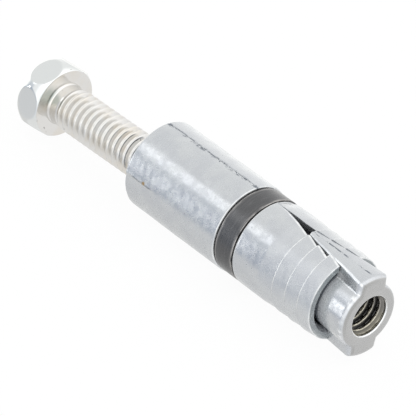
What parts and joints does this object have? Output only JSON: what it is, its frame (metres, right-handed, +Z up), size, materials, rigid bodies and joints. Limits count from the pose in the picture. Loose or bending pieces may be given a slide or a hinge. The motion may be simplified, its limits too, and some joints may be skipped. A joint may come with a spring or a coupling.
{
  "type": "expansion shield with hex bolt",
  "caption": "Machine bolt anchor: split cast shield with a wedge nut in its slotted end, a dark retaining band and a loose hex bolt that draws the wedge in to spread the halves.",
  "frame": {"origin": "centre of the shield's flat rear face, where a hole's mouth would be", "axes": "+X along the shield from its rear face towards the wedge nut, +Z up as it lies on its side; the shells meet in the XZ plane"},
  "size_m": [0.0812, 0.016, 0.0168],
  "materials": {
    "bolt_zinc_plate": "bright zinc plated steel",
    "shell_casting_near": "as cast zinc alloy, satin",
    "shell_casting_far": "as cast zinc alloy, satin",
    "nut_casting": "as cast zinc alloy, satin",
    "band_dark_steel": "dark oxide steel, semi-gloss"
  },
  "bodies": {
    "band": {"retaining_band": "band_dark_steel"},
    "bolt": {"hex_bolt": "bolt_zinc_plate"},
    "near_half": {"shield_half_near": "shell_casting_near"},
    "far_half": {"shield_half_far": "shell_casting_far"},
    "nut": {"wedge_nut": "nut_casting"}
  },
  "joints": [
    {"name": "bolt_turn", "type": "hinge", "parent": "band", "child": "bolt", "pos_m": [0.044, 0, 0], "axis": [0.9996, 0, 0.027], "range_deg": [0, 900]},
    {"name": "nut_draw", "type": "slide", "parent": "band", "child": "nut", "axis": [0.9996, 0, 0.027], "range_m": [-0.00354, 0]},
    {"name": "near_half_spread", "type": "hinge", "parent": "band", "child": "near_half", "pos_m": [0, 0, 0], "axis": [0, 0, 1], "range_deg": [-1, 0]},
    {"name": "far_half_spread", "type": "hinge", "parent": "band", "child": "far_half", "pos_m": [0, 0, 0], "axis": [0, 0, 1], "range_deg": [0, 1]}
  ],
  "couplings": [
    {"joint": "nut_draw", "follows": "bolt_turn", "m_per_rad": -0.00022457},
    {"joint": "near_half_spread", "follows": "bolt_turn", "ratio": -0.0011111},
    {"joint": "far_half_spread", "follows": "bolt_turn", "ratio": 0.0011111}
  ]
}
